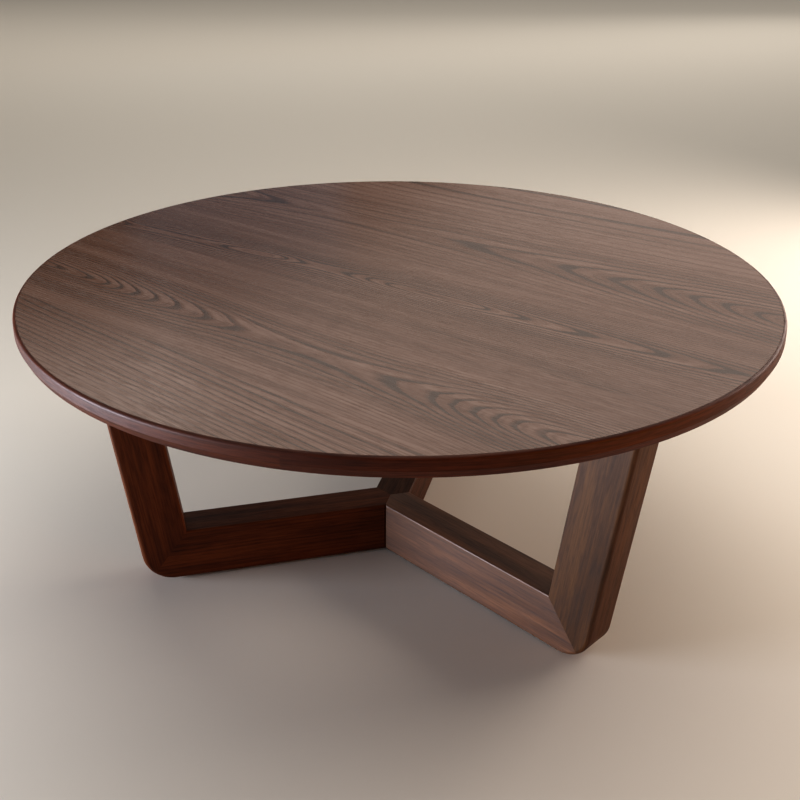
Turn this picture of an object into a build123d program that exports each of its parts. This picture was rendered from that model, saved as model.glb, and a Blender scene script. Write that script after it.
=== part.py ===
from build123d import *
import math
import os

# Round low table: a veneered and lipped top on three L-shaped leg frames that meet in a hub.
# Millimetres. Origin on the floor under the middle of the top, +Z up, the sitter's side at -Y.

# ---- overall ----
table_height = 380.0
top_diameter = 900.0
top_thickness = 21.0

# ---- top: cored board, veneered both sides, solid lipping round the edge ----
veneer_thickness = 0.6
glue_line = 0.1              # left between curved faces that are glued together
lipping_width = 12.0
lipping_count = 6
lipping_start_deg = 18.0
top_arris_radius = 3.5
under_bevel_height = 8.0
under_bevel_inset = 4.0
grain_deg = -37.0            # direction of the face veneer's grain, seen from above
leaf_count = 5
leaf_width = 190.0
first_leaf_width = 125.0     # the outermost leaf on the sitter's left side, from the rim inwards

# ---- leg frames: an upright and a floor rail, mitred at the foot ----
leg_names = ["back", "left", "right"]
back_leg_azimuth = 75.7      # from +X, seen from above; the other legs follow at even angles
frame_thickness = 46.0
rail_height = 67.0
upright_width = 60.5
upright_splay_deg = 8.7
head_setback = 73.0          # rim of the top to the outer edge of an upright, under the top
foot_corner_radius = 42.0
outer_arris_radius = 5.0
inner_arris_radius = 2.0
hub_arris_chamfer = 1.6

# ---- loose tenons, glued into mortises in both pieces ----
mortise_clearance = 0.15
tenon_lead_in = 1.5
corner_tenon = {"thickness": 10.0, "width": 28.0, "length": 36.0}
corner_tenon_share = 0.42    # place along the mitre, from its inner end
head_tenon = {"thickness": 10.0, "width": 28.0, "length": 38.0}
head_tenon_in_top = 14.0
pair_spacing = 20.0          # between the two tenons of a corner or a head
hub_tenon = {"thickness": 8.0, "width": 38.0, "length": 23.0}
hub_tenon_offset = 14.0      # centre of the hub to the middle of each hub tenon

# ---- felt pads ----
pad_thickness = 2.0
pad_diameter = 26.0
pad_setback = 17.0           # from the start of the foot's round corner to the pad's middle

# ---- worked out ----
match_tolerance = 0.01       # two places closer than this are the same
top_radius = top_diameter / 2
underside = table_height - top_thickness
core_radius = top_radius - lipping_width
head_reach = top_radius - head_setback
leg_azimuths = {name: back_leg_azimuth + i * 360 / len(leg_names) for i, name in enumerate(leg_names)}
hub_angle = math.radians(180 / len(leg_names))  # between a rail's middle line and its mitre
rail_top = pad_thickness + rail_height
half_frame = frame_thickness / 2
splay = math.radians(upright_splay_deg)
upright_span = upright_width / math.cos(splay)
hub_corner = half_frame / math.tan(hub_angle)


def outer_reach(z):
    return head_reach - (underside - z) * math.tan(splay)


def inner_reach(z):
    return outer_reach(z) - upright_span


mitre_inner = Vector(inner_reach(rail_top), 0, rail_top)
mitre_outer = Vector(outer_reach(pad_thickness), 0, pad_thickness)
mitre_run = mitre_outer - mitre_inner
mitre_dir = mitre_run.normalized()
mitre_normal = Vector(-mitre_dir.Z, 0, mitre_dir.X)
foot_tangent = foot_corner_radius / math.tan(math.radians(90 + upright_splay_deg) / 2)
pad_reach = mitre_outer.X - foot_tangent - pad_setback


def same(a, b):
    return abs(a - b) < match_tolerance


def at_leg(shape, azimuth):
    return Rot(0, 0, azimuth) * shape


def upright_cylinder(radius, bottom, top, x=0.0):
    return Pos(x, 0, bottom) * Cylinder(radius, top - bottom, align=(Align.CENTER, Align.CENTER, Align.MIN))


# ---------------------------------------------------------------- loose tenons


def tenon_block(size, clearance=0.0):
    """Length along X, thickness along Y, width along Z."""
    return Box(*[size[side] + 2 * clearance for side in ("length", "thickness", "width")])


def loose_tenon(size):
    """A loose tenon, its ends chamfered all round to lead it into its mortises."""
    block = tenon_block(size)
    ends = block.faces().filter_by(Axis.X)
    return chamfer(ends.edges(), tenon_lead_in)


def corner_tenon_places():
    """Two side by side across the mitre at the foot of a leg frame."""
    middle = mitre_inner + mitre_run * corner_tenon_share
    turn = -math.degrees(math.atan2(mitre_normal.Z, mitre_normal.X))
    return [Pos(middle.X, side * pair_spacing / 2, middle.Z) * Rot(0, turn, 0) for side in (-1, 1)]


def head_tenon_places():
    """Two side by side, upright, between the head of an upright and the top."""
    x = outer_reach(underside) - upright_span / 2
    z = underside + head_tenon_in_top - head_tenon["length"] / 2
    return [Pos(x, side * pair_spacing / 2, z) * Rot(0, 90, 0) for side in (-1, 1)]


def hub_tenon_place(side):
    """Across the mitre between a rail and its neighbour, on the rail's +Y or -Y side."""
    face = hub_angle * side
    x, y = hub_tenon_offset * math.cos(face), hub_tenon_offset * math.sin(face)
    return Pos(x, y, pad_thickness + rail_height / 2) * Rot(0, 0, math.degrees(face) + 90)


def mortised(shape, places, size):
    for place in places:
        shape -= place * tenon_block(size, mortise_clearance)
    return shape


def under_the_heads():
    """Where the head tenons of all three legs stand."""
    return [Rot(0, 0, azimuth) * place for azimuth in leg_azimuths.values() for place in head_tenon_places()]


# ---------------------------------------------------------------- the top


def top_core():
    board = upright_cylinder(core_radius - glue_line, underside + veneer_thickness,
                             table_height - veneer_thickness)
    return mortised(board, under_the_heads(), head_tenon)


def face_veneer_leaf(index):
    """One leaf of the face veneer: the strip of the disc between two joints, across the grain."""
    radius = top_radius - top_arris_radius - glue_line
    disc = upright_cylinder(radius, table_height - veneer_thickness, table_height)
    joints = [top_radius - first_leaf_width - i * leaf_width for i in range(leaf_count - 1)]
    near, far = [top_radius, *joints, -top_radius][index:index + 2]
    strip = Pos(0, -(near + far) / 2, table_height) * Box(2 * top_radius, near - far, 4 * veneer_thickness)
    return disc & (Rot(0, 0, grain_deg) * strip)


def backing_veneer():
    radius = top_radius - under_bevel_inset - glue_line
    sheet = upright_cylinder(radius, underside, underside + veneer_thickness)
    return mortised(sheet, under_the_heads(), head_tenon)


def edge_lipping(index):
    """One bent length of the solid edge: rounded above, bevelled below, rebated for both veneers."""
    seat_top = table_height - veneer_thickness
    seat_low = underside + veneer_thickness
    arris_in = top_radius - top_arris_radius
    arris_low = table_height - top_arris_radius
    arris_mid = top_arris_radius * math.sin(math.radians(45))
    bevel_in = top_radius - under_bevel_inset
    bevel_top = underside + under_bevel_height
    outline = [
        Line((core_radius, 0, seat_low), (bevel_in, 0, seat_low)),
        Line((bevel_in, 0, seat_low), (bevel_in, 0, underside)),
        Line((bevel_in, 0, underside), (top_radius, 0, bevel_top)),
        Line((top_radius, 0, bevel_top), (top_radius, 0, arris_low)),
        ThreePointArc((top_radius, 0, arris_low), (arris_in + arris_mid, 0, arris_low + arris_mid),
                      (arris_in, 0, table_height)),
        Line((arris_in, 0, table_height), (arris_in, 0, seat_top)),
        Line((arris_in, 0, seat_top), (core_radius, 0, seat_top)),
        Line((core_radius, 0, seat_top), (core_radius, 0, seat_low)),
    ]
    arc = 360 / lipping_count
    length = revolve(make_face(outline), Axis.Z, revolution_arc=arc)
    return Rot(0, 0, lipping_start_deg + index * arc) * length


# ---------------------------------------------------------------- leg frames


def side_edges(shape, on_edge):
    """The edges in the two side faces of a leg frame whose middles pass on_edge(x, z)."""
    sides = [e for e in shape.edges() if same(abs(e.center().Y), half_frame)]
    return [e for e in sides if on_edge(e.center().X, e.center().Z)]


def leg_frame_blank():
    """Upright and floor rail in one outline, rounded round the outside, before the mitre is cut."""
    outline = make_face(Plane.XZ * Polyline(
        (0, pad_thickness), (mitre_outer.X, pad_thickness), (head_reach, underside),
        (inner_reach(underside), underside), (mitre_inner.X, rail_top), (0, rail_top), close=True))
    foot = outline.vertices().filter_by(
        lambda v: same(v.X, mitre_outer.X) and same(v.Z, pad_thickness))
    blank = extrude(fillet(foot, foot_corner_radius), half_frame, both=True)

    def outside(x, z):
        at_an_end = same(x, 0) or same(z, underside)
        inside = same(z, rail_top) or same(x, inner_reach(z))
        return not (at_an_end or inside)

    return fillet(side_edges(blank, outside), outer_arris_radius)


def mitred(blank):
    """The blank cut in two along the mitre, and the inner arrises eased: (upright, rail)."""
    reach = 2 * table_height
    mitre = Plane(origin=mitre_inner, x_dir=(0, 1, 0), z_dir=mitre_normal)
    half_space = mitre * Box(reach, reach, reach, align=(Align.CENTER, Align.CENTER, Align.MIN))
    upright, rail = blank & half_space, blank - half_space
    inner_edges = side_edges(upright, lambda x, z: same(x, inner_reach(z)))
    upper_edges = side_edges(rail, lambda x, z: same(z, rail_top))
    return fillet(inner_edges, inner_arris_radius), fillet(upper_edges, inner_arris_radius)


def hub_wedge():
    """What a rail keeps at the hub: a point between its two mitres, with both side arrises chamfered."""
    reach = 2 * head_reach
    groove = hub_arris_chamfer
    corner = Vector(hub_corner, half_frame)
    near = corner - Vector(math.cos(hub_angle), math.sin(hub_angle)) * groove
    far = corner + Vector(groove, 0)
    plan = Polyline((0, 0), (near.X, near.Y), (far.X, far.Y), (reach, half_frame), (reach, -half_frame),
                    (far.X, -far.Y), (near.X, -near.Y), close=True)
    return extrude(make_face(plan), table_height)


def leg_frame():
    """The finished (upright, rail) of one leg, along +X."""
    upright, rail = mitred(leg_frame_blank())
    upright = mortised(upright, corner_tenon_places(), corner_tenon)
    upright = mortised(upright, head_tenon_places(), head_tenon)
    rail = mortised(rail & hub_wedge(), corner_tenon_places(), corner_tenon)
    rail = mortised(rail, [hub_tenon_place(-1), hub_tenon_place(1)], hub_tenon)
    return upright, rail


# ---------------------------------------------------------------- all nodes


def build():
    nodes = {"top_core": top_core(), "backing_veneer": backing_veneer()}
    for index in range(leaf_count):
        nodes[f"face_veneer_leaf_{index + 1}"] = face_veneer_leaf(index)
    for index in range(lipping_count):
        nodes[f"edge_lipping_{index + 1}"] = edge_lipping(index)

    upright, rail = leg_frame()
    corner_tenons = [place * loose_tenon(corner_tenon) for place in corner_tenon_places()]
    head_tenons = [place * loose_tenon(head_tenon) for place in head_tenon_places()]
    one_hub_tenon = hub_tenon_place(1) * loose_tenon(hub_tenon)
    pad = upright_cylinder(pad_diameter / 2, 0, pad_thickness, pad_reach)
    for name, azimuth in leg_azimuths.items():
        nodes[f"upright_{name}"] = at_leg(upright, azimuth)
        nodes[f"floor_rail_{name}"] = at_leg(rail, azimuth)
        nodes[f"corner_tenons_{name}"] = Compound(children=[at_leg(t, azimuth) for t in corner_tenons])
        nodes[f"head_tenons_{name}"] = Compound(children=[at_leg(t, azimuth) for t in head_tenons])
        nodes[f"hub_tenon_{name}"] = at_leg(one_hub_tenon, azimuth)
        nodes[f"foot_pad_{name}"] = at_leg(pad, azimuth)
    return nodes


os.makedirs("parts", exist_ok=True)
for node, shape in build().items():
    export_step(shape, f"parts/{node}.step")
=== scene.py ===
import math
import bpy
from mathutils import Matrix, Vector


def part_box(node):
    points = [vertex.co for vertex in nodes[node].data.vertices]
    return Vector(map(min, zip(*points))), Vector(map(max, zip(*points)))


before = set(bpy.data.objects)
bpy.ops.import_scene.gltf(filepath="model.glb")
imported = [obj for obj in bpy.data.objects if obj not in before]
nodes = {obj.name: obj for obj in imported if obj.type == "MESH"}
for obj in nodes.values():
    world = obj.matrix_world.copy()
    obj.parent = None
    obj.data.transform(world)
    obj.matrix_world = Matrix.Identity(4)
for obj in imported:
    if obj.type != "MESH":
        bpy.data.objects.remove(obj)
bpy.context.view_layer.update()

# Round low table: a figured veneer top with a bent solid edge on three mitred leg frames.
# Metres. The frame holds every piece at its place, so this script gives them their woods,
# and adds the floor, the lights and the camera.

legs = [name[len("upright_"):] for name in nodes if name.startswith("upright_")]
lippings = sorted(name for name in nodes if name.startswith("edge_lipping_"))
mmPerMetre = 1000


# small helpers

def linear(hexColour):
    # sRGB hex to the linear values that Blender mixes
    channels = [int(hexColour[i:i + 2], 16) / 255 for i in (1, 3, 5)]
    return (*[c / 12.92 if c <= 0.04045 else ((c + 0.055) / 1.055) ** 2.4 for c in channels], 1)


def addNode(tree, kind, inputs=(), **settings):
    # inputs are given by the sockets' names, or as a list in the sockets' order
    node = tree.nodes.new(kind)
    for name, value in settings.items():
        setattr(node, name, value)
    inputs = inputs if isinstance(inputs, dict) else dict(enumerate(inputs))
    for name, value in inputs.items():
        if isinstance(value, bpy.types.NodeSocket):
            tree.links.new(value, node.inputs[name])
        else:
            node.inputs[name].default_value = value
    return node


def newMaterial(name):
    material = bpy.data.materials.new(name)
    material.use_nodes = True
    return material


def dress(nodeName, material):
    mesh = nodes[nodeName].data
    mesh.materials.clear()
    mesh.materials.append(material)


def azimuthOf(nodeName):
    low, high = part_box(nodeName)
    middle = (Vector(low) + Vector(high)) / 2
    return math.atan2(middle.y, middle.x)


# Every wood is drawn from the same layers. Patches are (length, width) in millimetres. A range
# is the noise at its two ends and the strength at each. Each layer's noise starts elsewhere.
figure = {
    "starts": {"pore": 2, "streak": 3, "ragged": 5, "band": 7, "quiet": 9},
    "raggedPatch": (40.0, 4.0), "quietPatch": (170.0, 16.0), "noiseRoughness": 0.55,
    "ringEnds": (1.0, 0.6),  # how dark a growth ring is at its start and end, and between them
    "ringSteps": [(0.12, 0.85), (0.26, 0.3), (0.44, 0.08), (0.80, 0.0), (0.93, 0.1)],
    "quietRange": (0.3, 0.65, 0.45, 1.15), "rowRange": (0.2, 0.5, 0.0, 1.0),
    "rowQuietRange": (0.62, 0.35, 0.25, 1.0), "poreRange": (0.44, 0.72, 0.0, 1.0),
    "streakRange": (0.3, 0.7, 0.0, 1.0), "bandRange": (0.32, 0.68, 0.0, 1.0),
    "poreDetail": 3.0, "streakDetail": 4.0, "middleTone": 0.45, "roughInPores": 0.12,
    "bumpStrength": 0.25, "poreDepth": 0.00003,  # this one in metres
}


def alongGrain(tree, turn):
    # the piece's own coordinates in millimetres, turned so that X runs along its grain
    place = addNode(tree, "ShaderNodeTexCoord").outputs["Object"]
    turned = addNode(tree, "ShaderNodeMapping", {"Vector": place, "Rotation": turn,
                                                 "Scale": (mmPerMetre,) * 3})
    return tuple(addNode(tree, "ShaderNodeSeparateXYZ", [turned.outputs["Vector"]]).outputs)


def grainNoise(tree, axes, patch, seed, detail=2.0):
    # noise drawn out along the grain
    along, across, through = axes
    length, width = patch
    x = addNode(tree, "ShaderNodeMath", (along, 1 / length, seed), operation="MULTIPLY_ADD")
    y = addNode(tree, "ShaderNodeMath", (across, 1 / width, seed * 3), operation="MULTIPLY_ADD")
    z = addNode(tree, "ShaderNodeMath", (through, 1 / width), operation="MULTIPLY")
    place = addNode(tree, "ShaderNodeCombineXYZ", [part.outputs[0] for part in (x, y, z)])
    return addNode(tree, "ShaderNodeTexNoise", {"Vector": place.outputs[0], "Scale": 1.0, "Detail": detail,
                                                "Roughness": figure["noiseRoughness"]}).outputs["Fac"]


def ringsRoundPith(tree, axes, heart, depth, wood):
    # Growth rings are cylinders round the pith, so a ring line is where the distance from it,
    # across the grain and in depth, is a whole number of ring widths.
    waver = grainNoise(tree, axes, wood["waver"], wood["seed"])
    ragged = grainNoise(tree, axes, figure["raggedPatch"], wood["seed"] + figure["starts"]["ragged"])
    offset = addNode(tree, "ShaderNodeMath", (axes[1], heart), operation="SUBTRACT").outputs[0]
    flat = addNode(tree, "ShaderNodeCombineXYZ", (offset, depth)).outputs[0]
    fromPith = addNode(tree, "ShaderNodeVectorMath", [flat], operation="LENGTH").outputs["Value"]
    wavered = fromPith
    for noise, reach in ((waver, wood["waverDepth"]), (ragged, wood["ragged"])):
        moved = addNode(tree, "ShaderNodeMath", (noise, reach, wavered), operation="MULTIPLY_ADD")
        wavered = moved.outputs[0]
    ring = addNode(tree, "ShaderNodeMath", (wavered, wood["ringWidth"]), operation="DIVIDE").outputs[0]
    return fromPith, ring


def ringLines(tree, fromPith, ring, quiet, wood):
    # each ring starts with a band of dark pores and pales through its season
    season = addNode(tree, "ShaderNodeMath", [ring], operation="FRACT").outputs[0]
    ramp = addNode(tree, "ShaderNodeValToRGB", [season])
    stops = ramp.color_ramp.elements
    for stop, value in zip(stops, figure["ringEnds"]):
        stop.color = (value, value, value, 1)
    for place, value in figure["ringSteps"]:
        stops.new(place).color = (value, value, value, 1)
    ringDark = addNode(tree, "ShaderNodeSeparateColor", [ramp.outputs["Color"]]).outputs[0]

    # the lines are clear near the heart of the figure, faint away from it, and patchy
    fading = (fromPith, wood["clearTo"], wood["faintFrom"], 1.0, wood["faint"])
    clear = addNode(tree, "ShaderNodeMapRange", fading, interpolation_type="SMOOTHSTEP").outputs[0]
    patchy = addNode(tree, "ShaderNodeMapRange", (quiet, *figure["quietRange"])).outputs[0]
    strength = addNode(tree, "ShaderNodeMath", (clear, patchy), operation="MULTIPLY").outputs[0]
    return addNode(tree, "ShaderNodeMath", (ringDark, strength), operation="MULTIPLY").outputs[0]


def poreRows(tree, ring, quiet, wood):
    # between the ring lines, finer rows of pores that follow the same rings
    rows = addNode(tree, "ShaderNodeMath", (ring, wood["rows"]), operation="MULTIPLY").outputs[0]
    rows = addNode(tree, "ShaderNodeMath", (rows, 0.5), operation="PINGPONG").outputs[0]
    rowDark = addNode(tree, "ShaderNodeMapRange", (rows, *figure["rowRange"])).outputs[0]
    rowPatch = addNode(tree, "ShaderNodeMapRange", (quiet, *figure["rowQuietRange"])).outputs[0]
    return addNode(tree, "ShaderNodeMath", (rowDark, rowPatch), operation="MULTIPLY").outputs[0]


def finishWood(tree, axes, heart, depth, wood):
    starts = {layer: wood["seed"] + step for layer, step in figure["starts"].items()}
    fromPith, ring = ringsRoundPith(tree, axes, heart, depth, wood)
    quiet = grainNoise(tree, axes, figure["quietPatch"], starts["quiet"])
    lines = ringLines(tree, fromPith, ring, quiet, wood)
    rowDark = poreRows(tree, ring, quiet, wood)

    pores = grainNoise(tree, axes, wood["pore"], starts["pore"], figure["poreDetail"])
    poreDark = addNode(tree, "ShaderNodeMapRange", (pores, *figure["poreRange"])).outputs[0]
    streak = grainNoise(tree, axes, wood["streak"], starts["streak"], figure["streakDetail"])
    streakDark = addNode(tree, "ShaderNodeMapRange", (streak, *figure["streakRange"])).outputs[0]
    band = grainNoise(tree, axes, wood["band"], starts["band"])
    bandDark = addNode(tree, "ShaderNodeMapRange", (band, *figure["bandRange"])).outputs[0]

    # the layers add up to one darkness, which picks the colour
    total = addNode(tree, "ShaderNodeMath", (lines, wood["lineTone"]), operation="MULTIPLY").outputs[0]
    for dark, tone in ((rowDark, "rowTone"), (poreDark, "poreTone"), (streakDark, "streakTone"),
                       (bandDark, "bandTone")):
        darker = addNode(tree, "ShaderNodeMath", (dark, wood[tone], total), operation="MULTIPLY_ADD")
        total = darker.outputs[0]
    colours = addNode(tree, "ShaderNodeValToRGB", [total])
    stops = colours.color_ramp.elements
    for stop, shade in zip(stops, ("pale", "dark")):
        stop.color = linear(wood[shade])
    stops.new(figure["middleTone"]).color = linear(wood["middle"])

    shader = tree.nodes["Principled BSDF"]
    tree.links.new(colours.outputs["Color"], shader.inputs["Base Color"])
    rough = addNode(tree, "ShaderNodeMapRange", (poreDark, 0.0, 1.0, wood["roughness"],
                                                 wood["roughness"] + figure["roughInPores"])).outputs[0]
    tree.links.new(rough, shader.inputs["Roughness"])
    shader.inputs["IOR"].default_value = wood["ior"]
    shader.inputs["Specular IOR Level"].default_value = wood["gloss"]
    height = addNode(tree, "ShaderNodeMath", (poreDark, lines), operation="ADD").outputs[0]
    bump = addNode(tree, "ShaderNodeBump", {"Height": height, "Strength": figure["bumpStrength"],
                                            "Distance": figure["poreDepth"]}, invert=True)
    tree.links.new(bump.outputs["Normal"], shader.inputs["Normal"])


# Walnut veneer, flat sliced, stained and sealed with satin lacquer: tall arches of dark pore
# lines down the middle of each leaf, quiet straight grain towards its joints, and a soft sheen
# with the pores left slightly open. Its pale tone is greyed, a painted sheen of the lacquer
# between the pores. Pores are drawn 1.4 mm wide, because real ones, under 0.3 mm, wouldn't show.
veneerWood = {
    "pale": "#8E7062", "middle": "#6A4530", "dark": "#42240F", "ior": 1.5, "roughness": 0.20, "gloss": 0.5,
    "waver": (300.0, 32.0), "waverDepth": 6.0, "ragged": 0.6, "faint": 0.35, "rows": 3.0,
    "pore": (22.0, 1.4), "streak": (150.0, 3.2), "band": (520.0, 24.0),
    "lineTone": 1.0, "rowTone": 0.30, "poreTone": 0.26, "streakTone": 0.20, "bandTone": 0.28,
}

# The leaves lie from the front left to the back right. For each, points (place along the grain,
# value) say where the heart of its figure runs, across the grain, and how far below the surface
# its pith lies. Arches close where that depth grows.
grainAzimuth = math.radians(-37)
leafReach = 450  # millimetres along the grain, either way from the middle of the top
leaves = {
    1: {"heart": [(-450, -285), (0, -300), (450, -330)],
        "depth": [(-450, 60), (0, 48), (450, 60)],
        "ringWidth": 6.5, "clearTo": 100.0, "faintFrom": 150.0, "faint": 0.5, "lineTone": 0.80,
        "bandTone": 0.22, "seed": 11.0},
    2: {"heart": [(-450, -240), (0, -240), (450, -242)],
        "depth": [(-450, 6), (-300, 14), (-205, 27), (-90, 40), (60, 48), (190, 44), (275, 32), (345, 18),
                  (450, 6)],
        "ringWidth": 4.4, "clearTo": 46.0, "faintFrom": 72.0, "rows": 2.0, "seed": 22.0},
    3: {"heart": [(-450, -66), (-250, -52), (-50, -32), (150, -28), (450, -22)],
        "depth": [(-450, 8), (-300, 16), (-180, 11), (-90, 19), (0, 12), (80, 6), (180, 12), (300, 19),
                  (430, 27)],
        "ringWidth": 4.2, "clearTo": 32.0, "faintFrom": 46.0, "lineTone": 1.4, "seed": 33.0},
    4: {"heart": [(-450, 140), (-100, 158), (200, 152), (450, 140)],
        "depth": [(-450, 62), (-200, 74), (-60, 72), (100, 66), (215, 55), (300, 42), (365, 28), (450, 8)],
        "ringWidth": 8.0, "clearTo": 62.0, "faintFrom": 84.0, "seed": 44.0},
    5: {"heart": [(-450, 420), (0, 400), (450, 410)],
        "depth": [(-450, 80), (0, 70), (450, 90)],
        "ringWidth": 16.0, "clearTo": 60.0, "faintFrom": 120.0, "faint": 0.25, "streakTone": 0.14,
        "rowTone": 0.12, "seed": 55.0},
}


def profileAlong(tree, along, points):
    # a value that changes smoothly along the leaf, through its points
    values = [value for place, value in points]
    low, high = min(values) - 1, max(values) + 1
    share = addNode(tree, "ShaderNodeMapRange", (along, -leafReach, leafReach, 0.0, 1.0))
    curve = addNode(tree, "ShaderNodeFloatCurve", {"Value": share.outputs[0]})
    line = curve.mapping.curves[0]
    placed = [((place + leafReach) / (2 * leafReach), (value - low) / (high - low))
              for place, value in points]
    line.points[0].location, line.points[1].location = placed[0], placed[-1]
    for x, y in placed[1:-1]:
        line.points.new(x, y)
    curve.mapping.update()
    return addNode(tree, "ShaderNodeMapRange", (curve.outputs[0], 0.0, 1.0, low, high)).outputs[0]


def makeLeafWood(number, leaf):
    material = newMaterial(f"WalnutVeneerSatinLacquer{number}")
    tree = material.node_tree
    axes = alongGrain(tree, (0, 0, -grainAzimuth))
    heart = profileAlong(tree, axes[0], leaf["heart"])
    depth = profileAlong(tree, axes[0], leaf["depth"])
    finishWood(tree, axes, heart, depth, {**veneerWood, **leaf})
    return material


# Solid walnut, planed and sanded, dark stain under satin lacquer: straight fine lines along
# each board, redder and darker than the top. Its pores are drawn coarser too.
legWood = {
    "pale": "#6E4020", "middle": "#522A11", "dark": "#281005", "ior": 1.5, "roughness": 0.52, "gloss": 0.4,
    "waver": (260.0, 24.0), "waverDepth": 6.0, "ragged": 0.6, "ringWidth": 5.2, "clearTo": 90.0,
    "faintFrom": 160.0, "faint": 0.6, "rows": 2.0,
    "pore": (20.0, 1.4), "streak": (110.0, 2.8), "band": (160.0, 14.0),
    "lineTone": 0.22, "rowTone": 0.10, "poreTone": 0.28, "streakTone": 0.24, "bandTone": 0.38,
}


def makeSolidWood(name, turn, pith, changes):
    material = newMaterial(name)
    tree = material.node_tree
    axes = alongGrain(tree, turn)
    depth = addNode(tree, "ShaderNodeMath", (axes[2], pith[1]), operation="SUBTRACT").outputs[0]
    finishWood(tree, axes, pith[0], depth, {**legWood, **changes})
    return material


# The edge is solid walnut too, steam bent and lacquered: its lines run round with the rim.
lippingWood = {"pale": "#603018", "middle": "#441D0B", "dark": "#200B04", "ringWidth": 5.0,
               "lineTone": 0.3, "bandTone": 0.3, "gloss": 0.36, "pith": -30.0, "firstSeed": 60.0}


def makeBentWood(name, azimuth, radius, seed):
    material = newMaterial(name)
    tree = material.node_tree
    x, y, through = alongGrain(tree, (0, 0, -azimuth))
    turn = addNode(tree, "ShaderNodeMath", (y, x), operation="ARCTAN2").outputs[0]
    along = addNode(tree, "ShaderNodeMath", (turn, radius), operation="MULTIPLY").outputs[0]
    flat = addNode(tree, "ShaderNodeCombineXYZ", (x, y)).outputs[0]
    reach = addNode(tree, "ShaderNodeVectorMath", [flat], operation="LENGTH").outputs["Value"]
    across = addNode(tree, "ShaderNodeMath", (reach, radius), operation="SUBTRACT").outputs[0]
    wood = {**legWood, **lippingWood, "seed": seed}
    finishWood(tree, (along, across, through), wood["pith"], through, wood)
    return material


print("woods for the top")
for number, leaf in leaves.items():
    dress(f"face_veneer_leaf_{number}", makeLeafWood(number, leaf))

rimRadius = max(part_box(name)[1][0] for name in lippings) * mmPerMetre
for index, name in enumerate(lippings):
    seed = lippingWood["firstSeed"] + index
    dress(name, makeBentWood(f"BentWalnutSatinLacquer{index + 1}", azimuthOf(name), rimRadius, seed))

print("woods for the leg frames")
# how the boards are cut: the uprights' lean in degrees, and where the pith lies in millimetres,
# across each board and through it
boardCut = {"splay": 8.7, "railPith": (12.0, -26.0), "uprightPith": (-9.0, 40.0),
            "firstSeed": 70.0, "perLeg": 10, "perBoard": 3}

# Boards that differ from the rest: the right leg's are better filled and shine more, and its rail
# is a little lighter, painted light where its near face is lit; its upright and the back leg are
# darker, painted shade where less light reaches them; and the left leg's are duller.
boardsLitAndShaded = {
    "floor_rail_right": {"pale": "#744B2D", "middle": "#56341C", "dark": "#2C170A", "gloss": 0.9},
    "upright_right": {"pale": "#603F1E", "middle": "#462A12", "dark": "#221105", "gloss": 0.5},
    "floor_rail_back": {"pale": "#5A3820", "middle": "#3E2210", "dark": "#1C0D05", "gloss": 0.25},
    "upright_back": {"pale": "#523420", "middle": "#3A2214", "dark": "#1C0F07"},
    "floor_rail_left": {"gloss": 0.3},
    "upright_left": {"gloss": 0.3},
}
for index, leg in enumerate(legs):
    azimuth = azimuthOf(f"upright_{leg}")
    lean = math.pi / 2 - math.radians(boardCut["splay"])
    uprightTurn = Matrix.Rotation(lean, 3, "Y") @ Matrix.Rotation(-azimuth, 3, "Z")
    pieces = {f"floor_rail_{leg}": ((0, 0, -azimuth), boardCut["railPith"]),
              f"upright_{leg}": (tuple(uprightTurn.to_euler("XYZ")), boardCut["uprightPith"])}
    for pieceIndex, (name, (turn, pith)) in enumerate(pieces.items()):
        seed = boardCut["firstSeed"] + boardCut["perLeg"] * index + boardCut["perBoard"] * pieceIndex
        changes = {"seed": seed, **boardsLitAndShaded.get(name, {})}
        dress(name, makeSolidWood(f"SolidWalnutSatinLacquer_{name}", turn, pith, changes))

print("quiet materials")
# The pieces that hardly show, by a word in their names: sawn fibre board, buff and dull; back
# veneer, plain brown and matt; machined beech, pale and smooth; pressed wool felt, dark and
# without any shine. Each is one colour that drifts a little, with its fibres and pores drawn
# coarser than real ones, which wouldn't show.
quietFinishes = {
    "top_core": {"material": "FibreBoardSawn", "colours": ("#A98C66", "#B99C74"), "roughness": 0.8,
                 "patch": (3.0, 3.0), "seed": 81.0},
    "backing_veneer": {"material": "WalnutVeneerBackMatt", "colours": ("#4C382D", "#6A5142"),
                       "roughness": 0.55, "patch": (120.0, 2.5), "seed": 82.0},
    "tenon": {"material": "BeechMachined", "colours": ("#C6A27A", "#D6B58D"), "roughness": 0.6,
              "patch": (20.0, 1.2), "seed": 83.0},
    "foot_pad": {"material": "WoolFeltPressed", "colours": ("#2A2522", "#4A423C"), "roughness": 0.95,
                 "patch": (1.2, 0.8), "seed": 84.0},
}
quietDrift = {"detail": 4.0, "ends": (0.3, 0.7)}


def makeQuiet(finish):
    material = newMaterial(finish["material"])
    tree = material.node_tree
    axes = alongGrain(tree, (0, 0, -grainAzimuth))
    drift = grainNoise(tree, axes, finish["patch"], finish["seed"], quietDrift["detail"])
    ramp = addNode(tree, "ShaderNodeValToRGB", [drift])
    for stop, place, colour in zip(ramp.color_ramp.elements, quietDrift["ends"], finish["colours"]):
        stop.position, stop.color = place, linear(colour)
    shader = tree.nodes["Principled BSDF"]
    tree.links.new(ramp.outputs["Color"], shader.inputs["Base Color"])
    shader.inputs["Roughness"].default_value = finish["roughness"]
    return material


for word, finish in quietFinishes.items():
    quietMaterial = makeQuiet(finish)
    for name in nodes:
        if word in name:
            dress(name, quietMaterial)

print("soft shading on the rounded edges")
smoothing = {"weld": 0.00001, "sharpFrom": math.radians(20)}
for node in nodes.values():
    weld = node.modifiers.new("Weld", "WELD")
    weld.merge_threshold = smoothing["weld"]
    split = node.modifiers.new("SharpEdges", "EDGE_SPLIT")
    split.split_angle = smoothing["sharpFrom"]
    split.use_edge_sharp = False
    node.data.polygons.foreach_set("use_smooth", [True] * len(node.data.polygons))

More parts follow.
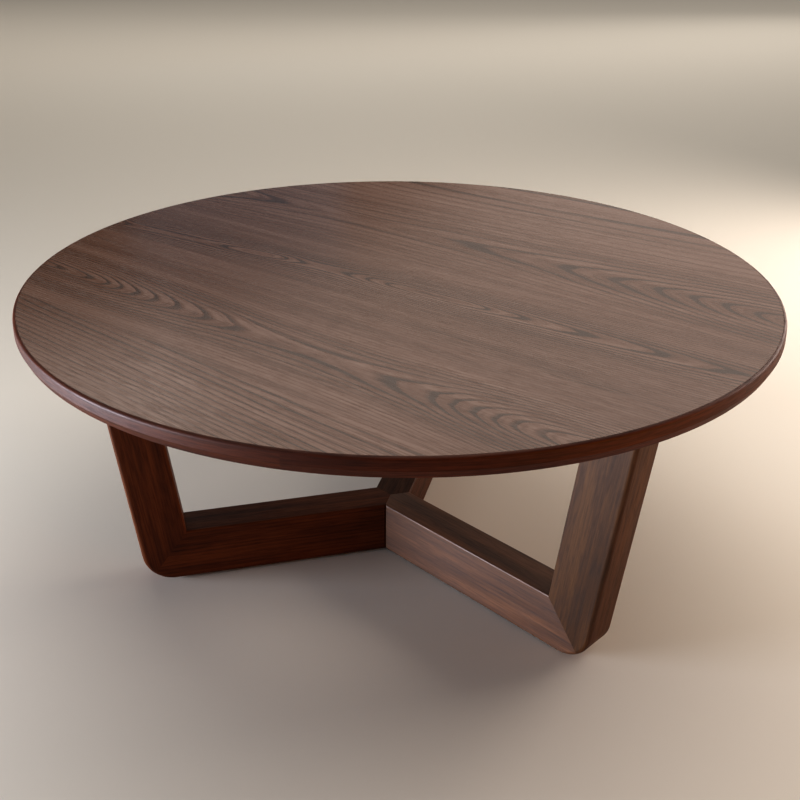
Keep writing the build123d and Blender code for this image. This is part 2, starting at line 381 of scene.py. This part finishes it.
print("floor")
bpy.ops.object.select_all(action="DESELECT")
studio = {"floorColour": "#D8D3CA", "floorRoughness": 0.9, "floorSize": 40.0,
          "air": "#F2F0EE", "airStrength": 0.04}
bpy.ops.mesh.primitive_plane_add(size=studio["floorSize"], location=(0, 0, 0))
floor = bpy.context.object
floor.name = "StudioFloor"
floorPaint = newMaterial("FloorMattPaint")
paintShader = floorPaint.node_tree.nodes["Principled BSDF"]
paintShader.inputs["Base Color"].default_value = linear(studio["floorColour"])
paintShader.inputs["Roughness"].default_value = studio["floorRoughness"]
floor.data.materials.append(floorPaint)

world = bpy.data.worlds.new("StudioAir")
bpy.context.scene.world = world
world.use_nodes = True
air = world.node_tree.nodes["Background"]
air.inputs["Color"].default_value = linear(studio["air"])
air.inputs["Strength"].default_value = studio["airStrength"]

print("lights")
# The wall behind is a bright slope: its lower edge stands high on the left, which leaves the
# back left of the top in the dark but for a dim cool door, and runs down to the right. A low
# window on the left lights the near faces of the right leg, and warm lamps stand low on the right.
overTable = (0, 0, 0.35)
lamps = {
    "WindowLow": {"place": (-2.2, -0.62, 0.25), "aim": (0.2, -0.15, 0.2), "size": (1.0, 0.4),
                  "power": 74, "tint": "#E8F0FF"},
    "WallBack": {"place": (0.2, 4.5, 3.5), "aim": overTable, "size": (8.0, 3.4), "power": 57,
                 "tint": "#FFF8F0", "roll": 31},
    "WallTop": {"place": (0.0, 4.3, 3.7), "aim": overTable, "size": (8.0, 2.4), "power": 33,
                "tint": "#FFF8F0"},
    "WallLeft": {"place": (-2.35, 4.1, 2.9), "aim": overTable, "size": (2.6, 1.0), "power": 4.2,
                 "tint": "#FFF8F0"},
    "SoftTop": {"place": (0.3, -0.2, 2.8), "aim": overTable, "size": (2.5, 2.5), "power": 29,
                "tint": "#FFFAF2"},
    "SideRight": {"place": (1.7, 0.8, 0.75), "aim": (0.1, -0.1, 0.1), "size": (1.4, 0.7), "power": 19,
                  "tint": "#FFF2E8"},
    "WarmRight": {"place": (1.9, -1.7, 0.3), "aim": (0.2, 0, 0.2), "size": (1.0, 0.5), "power": 11,
                  "tint": "#FFA848"},
    "WarmSide": {"place": (2.3, -0.9, 0.2), "aim": (0.3, -0.25, 0.15), "size": (0.6, 0.3), "power": 6,
                 "tint": "#FFA030"},
    "DoorLeft": {"place": (-0.86, 4.4, 1.45), "aim": overTable, "size": (1.2, 0.8), "power": 0.55,
                 "tint": "#98D8FF"},
    "FloorBack": {"place": (0.0, 5.6, 4.2), "aim": (0, 9.4, 0), "size": (16.0, 3.0), "power": 230,
                  "tint": "#FFF8F0"},  # turned away from the table, for the floor behind it
}
for name, lamp in lamps.items():
    bpy.ops.object.light_add(type="AREA", location=lamp["place"])
    light = bpy.context.object
    light.name = name
    light.data.shape = "RECTANGLE"
    light.data.size, light.data.size_y = lamp["size"]
    light.data.energy = lamp["power"]
    light.data.color = linear(lamp["tint"])[:3]
    direction = Vector(lamp["aim"]) - Vector(lamp["place"])
    roll = Matrix.Rotation(math.radians(lamp.get("roll", 0)), 3, "Z")
    light.rotation_euler = (direction.to_track_quat("-Z", "Y").to_matrix() @ roll).to_euler()

print("camera")
view = {"place": (0.0, -1.2189, 0.8178), "yaw": -3.489, "pitch": 18.596, "roll": -0.772,
        "sensor": 36.0, "lens": 47.24, "shift": (0.0858, -0.1842), "farthest": 100.0}
camera = bpy.data.objects.new("Camera", bpy.data.cameras.new("Camera"))
bpy.context.collection.objects.link(camera)
camera.data.sensor_width = view["sensor"]
camera.data.lens = view["lens"]
camera.data.shift_x, camera.data.shift_y = view["shift"]
camera.data.clip_end = view["farthest"]
camera.location = view["place"]
turn = (Matrix.Rotation(-math.radians(view["yaw"]), 3, "Z")
        @ Matrix.Rotation(math.pi / 2 - math.radians(view["pitch"]), 3, "X")
        @ Matrix.Rotation(math.radians(view["roll"]), 3, "Z"))
camera.rotation_euler = turn.to_euler()
bpy.context.scene.camera = camera
bpy.context.scene.view_settings.view_transform = "Standard"
bpy.context.scene.view_settings.look = "High Contrast"
